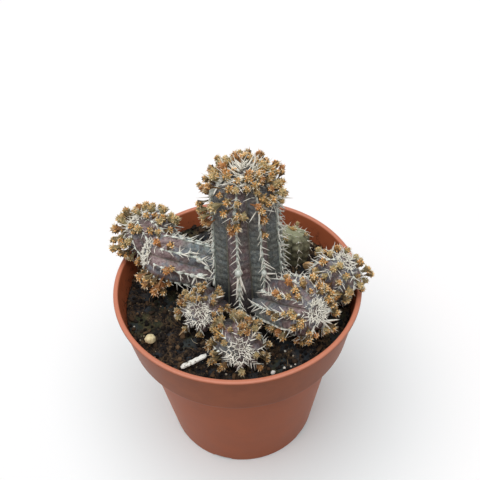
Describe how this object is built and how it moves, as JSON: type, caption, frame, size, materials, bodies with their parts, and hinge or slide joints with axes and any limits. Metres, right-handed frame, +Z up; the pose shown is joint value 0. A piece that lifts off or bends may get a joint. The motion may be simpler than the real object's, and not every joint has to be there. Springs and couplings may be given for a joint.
{
  "type": "potted succulent",
  "caption": "Clumping spiny euphorbia in a round terracotta-coloured plastic nursery pot, its ribbed stems crowned with small rusty orange flowers over dark peat.",
  "frame": {"origin": "middle of the pot's flat underside, on the surface it stands on", "axes": "+Z up the pot's axis; -Y is the front, the side with the low front offset; +X is to the right seen from the front"},
  "size_m": [0.1089, 0.105, 0.1477],
  "materials": {
    "terracotta_plastic": "satin moulded plastic",
    "peat": "loose dark potting peat",
    "stem_skin": "matt grey-purple succulent skin",
    "cyathia": "matt rusty orange and olive-tan flowers",
    "pale_grit": "matt pale yellow grit",
    "dry_stalk": "bleached dry plant matter",
    "dry_husk": "matt brown dry plant matter",
    "spines": "matt pale horny spines and shields",
    "perlite": "matt off-white perlite"
  },
  "bodies": {
    "root": {"pot": "terracotta_plastic", "soil": "peat", "main_stem": "stem_skin", "main_stem_flowers": "cyathia", "offset_left_front": "stem_skin", "offset_left_front_flowers": "cyathia", "offset_left_back": "stem_skin", "offset_left_back_flowers": "cyathia", "offset_front_left": "stem_skin", "offset_front_left_flowers": "cyathia", "offset_front": "stem_skin", "offset_front_flowers": "cyathia", "offset_right_front": "stem_skin", "offset_right_front_flowers": "cyathia", "offset_right": "stem_skin", "offset_right_flowers": "cyathia", "offset_back_right": "stem_skin", "offset_back_right_flowers": "cyathia", "pebble": "pale_grit", "dry_stalk": "dry_stalk", "dry_husk": "dry_husk", "perlite_1": "perlite", "perlite_2": "perlite", "perlite_3": "perlite"}
  },
  "joints": []
}
